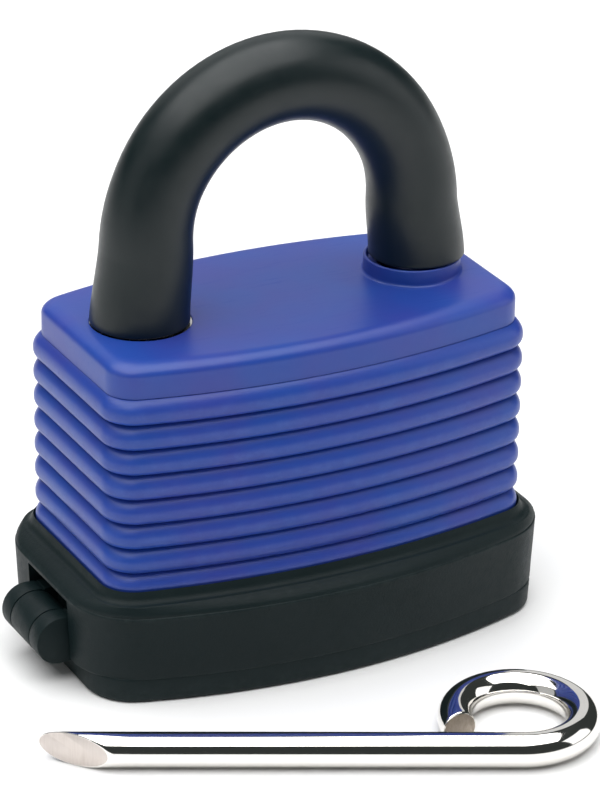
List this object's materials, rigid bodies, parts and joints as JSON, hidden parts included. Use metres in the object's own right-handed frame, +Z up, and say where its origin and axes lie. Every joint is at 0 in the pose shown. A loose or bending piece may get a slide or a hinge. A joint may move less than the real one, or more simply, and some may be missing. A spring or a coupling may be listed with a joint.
{
  "type": "padlock",
  "caption": "Weatherproof laminated padlock with a ribbed plastic jacket, sleeved shackle, hinged base lid over number wheels, and a bent steel pin for changing the code",
  "frame": {"origin": "middle of the flat base face that the lock stands on", "axes": "+Z up along the shackle, X along the lock's width with the heel leg at +X and the lid's hinge at -X, -Y is the front"},
  "size_m": [0.0639, 0.0609, 0.066],
  "materials": {
    "blue_plastic": "satin moulded",
    "black_plastic": "fine textured",
    "black_sleeve": "satin moulded",
    "plate_steel": "zinc plated, brushed",
    "bright_steel": "bright",
    "hardened_steel": "plated",
    "bright_nickel": "polished nickel plate",
    "spring_steel": "bright drawn",
    "cast_zinc": "die cast",
    "brass": "turned",
    "wheel_black": "black with white numerals"
  },
  "bodies": {
    "lock_body": {"jacket": "blue_plastic", "skirt": "black_plastic", "lid_hinge_pin": "bright_steel", "bottom_plate": "plate_steel", "wheel_cage": "cast_zinc", "lamination_1": "plate_steel", "lamination_2": "plate_steel", "lamination_3": "plate_steel", "lamination_4": "plate_steel", "lamination_5": "plate_steel", "bolt_plate": "plate_steel", "top_plate": "plate_steel", "rivets": "bright_steel", "toe_ferrule": "bright_steel", "bar_springs": "spring_steel", "heel_spring": "spring_steel", "heel_retaining_pin": "bright_steel", "spring_washer": "spring_steel", "detent_spring": "spring_steel"},
    "shackle_assembly": {"shackle": "hardened_steel", "shackle_sleeve": "black_sleeve"},
    "lid_cover": {"lid": "black_plastic"},
    "toe_bolt_slide": {"toe_bolt": "brass"},
    "heel_bolt_slide": {"heel_bolt": "brass"},
    "bar": {"locking_bar": "plate_steel"},
    "change_spindle": {"spindle": "bright_steel"},
    "loose_pin": {"change_pin": "bright_nickel"},
    "wheel_1": {"number_wheel_1": "wheel_black"},
    "gate_hub_1": {"hub_1": "brass"},
    "wheel_2": {"number_wheel_2": "wheel_black"},
    "gate_hub_2": {"hub_2": "brass"},
    "wheel_3": {"number_wheel_3": "wheel_black"},
    "gate_hub_3": {"hub_3": "brass"},
    "wheel_4": {"number_wheel_4": "wheel_black"},
    "gate_hub_4": {"hub_4": "brass"}
  },
  "joints": [
    {"name": "shackle_lift", "type": "slide", "parent": "lock_body", "child": "shackle_assembly", "axis": [0, 0, 1], "range_m": [0, 0.0128], "deforming": ["heel_spring"]},
    {"name": "toe_bolt_draw", "type": "slide", "parent": "lock_body", "child": "toe_bolt_slide", "axis": [1, 0, 0], "range_m": [0, 0.00301]},
    {"name": "heel_bolt_draw", "type": "slide", "parent": "lock_body", "child": "heel_bolt_slide", "axis": [-1, 0, 0], "range_m": [0, 0.00301]},
    {"name": "bar_drop", "type": "slide", "parent": "lock_body", "child": "bar", "axis": [0, 0, -1], "range_m": [0, 0.00301], "deforming": ["bar_springs"]},
    {"name": "lid_swing", "type": "hinge", "parent": "lock_body", "child": "lid_cover", "pos_m": [-0.028, -0.00065, 0.00495], "axis": [0, 1, 0], "range_deg": [0, 165]},
    {"name": "change_shift", "type": "slide", "parent": "lock_body", "child": "change_spindle", "axis": [1, 0, 0], "range_m": [0, 0.0009], "stiffness_N_per_m": 200},
    {"name": "pin_pick_up", "type": "slide", "parent": "lock_body", "child": "loose_pin", "axis": [0, 0, 1], "range_m": [0, 0.03]},
    {"name": "wheel_1_spin", "type": "hinge", "parent": "lock_body", "child": "wheel_1", "pos_m": [0, 0, 0.01], "axis": [1, 0, 0], "range_deg": [-360, 360]},
    {"name": "hub_1_shift", "type": "slide", "parent": "wheel_1", "child": "gate_hub_1", "axis": [1, 0, 0], "range_m": [0, 0.00091]},
    {"name": "wheel_2_spin", "type": "hinge", "parent": "lock_body", "child": "wheel_2", "pos_m": [0, 0, 0.01], "axis": [1, 0, 0], "range_deg": [-360, 360]},
    {"name": "hub_2_shift", "type": "slide", "parent": "wheel_2", "child": "gate_hub_2", "axis": [1, 0, 0], "range_m": [0, 0.00091]},
    {"name": "wheel_3_spin", "type": "hinge", "parent": "lock_body", "child": "wheel_3", "pos_m": [0, 0, 0.01], "axis": [1, 0, 0], "range_deg": [-360, 360]},
    {"name": "hub_3_shift", "type": "slide", "parent": "wheel_3", "child": "gate_hub_3", "axis": [1, 0, 0], "range_m": [0, 0.00091]},
    {"name": "wheel_4_spin", "type": "hinge", "parent": "lock_body", "child": "wheel_4", "pos_m": [0, 0, 0.01], "axis": [1, 0, 0], "range_deg": [-360, 360]},
    {"name": "hub_4_shift", "type": "slide", "parent": "wheel_4", "child": "gate_hub_4", "axis": [1, 0, 0], "range_m": [0, 0.00091]}
  ],
  "couplings": [
    {"joint": "toe_bolt_draw", "follows": "shackle_lift", "ratio": 0.23438},
    {"joint": "heel_bolt_draw", "follows": "shackle_lift", "ratio": 0.23438},
    {"joint": "bar_drop", "follows": "shackle_lift", "ratio": 0.23438},
    {"joint": "hub_1_shift", "follows": "change_shift", "ratio": 1},
    {"joint": "hub_2_shift", "follows": "change_shift", "ratio": 1},
    {"joint": "hub_3_shift", "follows": "change_shift", "ratio": 1},
    {"joint": "hub_4_shift", "follows": "change_shift", "ratio": 1}
  ]
}
